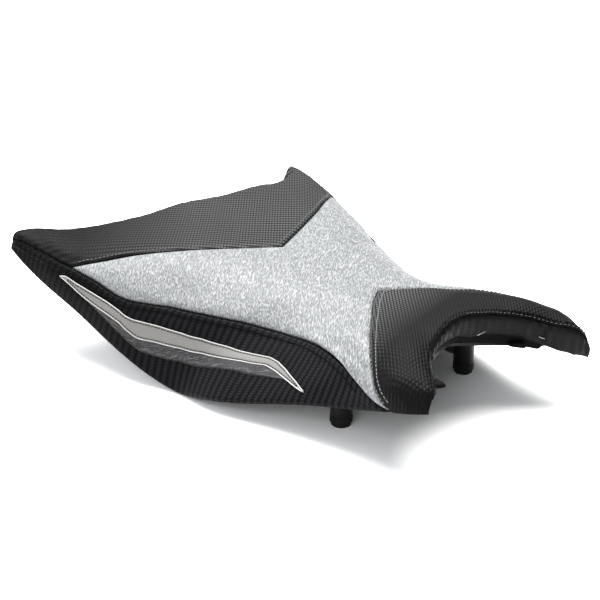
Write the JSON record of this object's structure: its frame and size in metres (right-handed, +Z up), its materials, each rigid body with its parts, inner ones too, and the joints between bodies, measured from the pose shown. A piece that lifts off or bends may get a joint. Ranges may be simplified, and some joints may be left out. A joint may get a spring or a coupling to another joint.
{
  "type": "motorcycle seat",
  "caption": "Sport motorcycle rider seat with a sewn panelled cover, foam cushion and moulded pan, forked nose for the tank, flared sides and two front rubber-tipped posts.",
  "frame": {"origin": "on the ground plane, under the middle of the seat's bounding box", "axes": "+X forwards to the nose, +Y to the rider's left, +Z up; the ground touches the two front rubber tips and the lower side corners' height is close above it"},
  "size_m": [0.438, 0.3494, 0.1012],
  "materials": {
    "silver_leather": "silver-grey grained leather, soft sheen",
    "carbon_vinyl": "charcoal carbon-look embossed vinyl",
    "twill_vinyl": "black twill-embossed vinyl, satin",
    "light_leather": "smooth light warm-grey leather",
    "dark_leather": "dark-grey brushed grain leather",
    "cover_lining": "matt black vinyl",
    "foam": "moulded polyurethane foam",
    "pan_plastic": "moulded black polypropylene",
    "black_rubber": "black moulded rubber",
    "bracket_steel": "black-coated steel",
    "zinc_steel": "zinc-plated steel",
    "staple_steel": "galvanised staple wire"
  },
  "bodies": {
    "root": {"bolt_sleeve_left": "zinc_steel", "bolt_sleeve_right": "zinc_steel", "cover_centre_panel": "silver_leather", "cover_hem_left": "cover_lining", "cover_hem_right": "cover_lining", "cover_nose_panel": "carbon_vinyl", "cover_nose_skirt": "cover_lining", "cover_rear_panel": "carbon_vinyl", "cover_rear_skirt": "cover_lining", "cover_side_panel_left": "twill_vinyl", "cover_side_panel_right": "twill_vinyl", "foam_cushion": "foam", "front_mount_tab_left": "bracket_steel", "front_mount_tab_right": "bracket_steel", "grommet_left": "black_rubber", "grommet_right": "black_rubber", "rear_buffer_left": "black_rubber", "rear_buffer_right": "black_rubber", "rear_tongue": "bracket_steel", "rubber_tip_left": "black_rubber", "rubber_tip_right": "black_rubber", "seat_pan": "pan_plastic", "staple_01": "staple_steel", "staple_02": "staple_steel", "staple_03": "staple_steel", "staple_04": "staple_steel", "staple_05": "staple_steel", "staple_06": "staple_steel", "staple_07": "staple_steel", "staple_08": "staple_steel", "staple_09": "staple_steel", "staple_10": "staple_steel", "staple_11": "staple_steel", "staple_12": "staple_steel", "stripe_dark_left": "dark_leather", "stripe_dark_right": "dark_leather", "stripe_light_left": "light_leather", "stripe_light_right": "light_leather", "support_post_left": "pan_plastic", "support_post_right": "pan_plastic", "tongue_rivet_left": "zinc_steel", "tongue_rivet_right": "zinc_steel"}
  },
  "joints": []
}
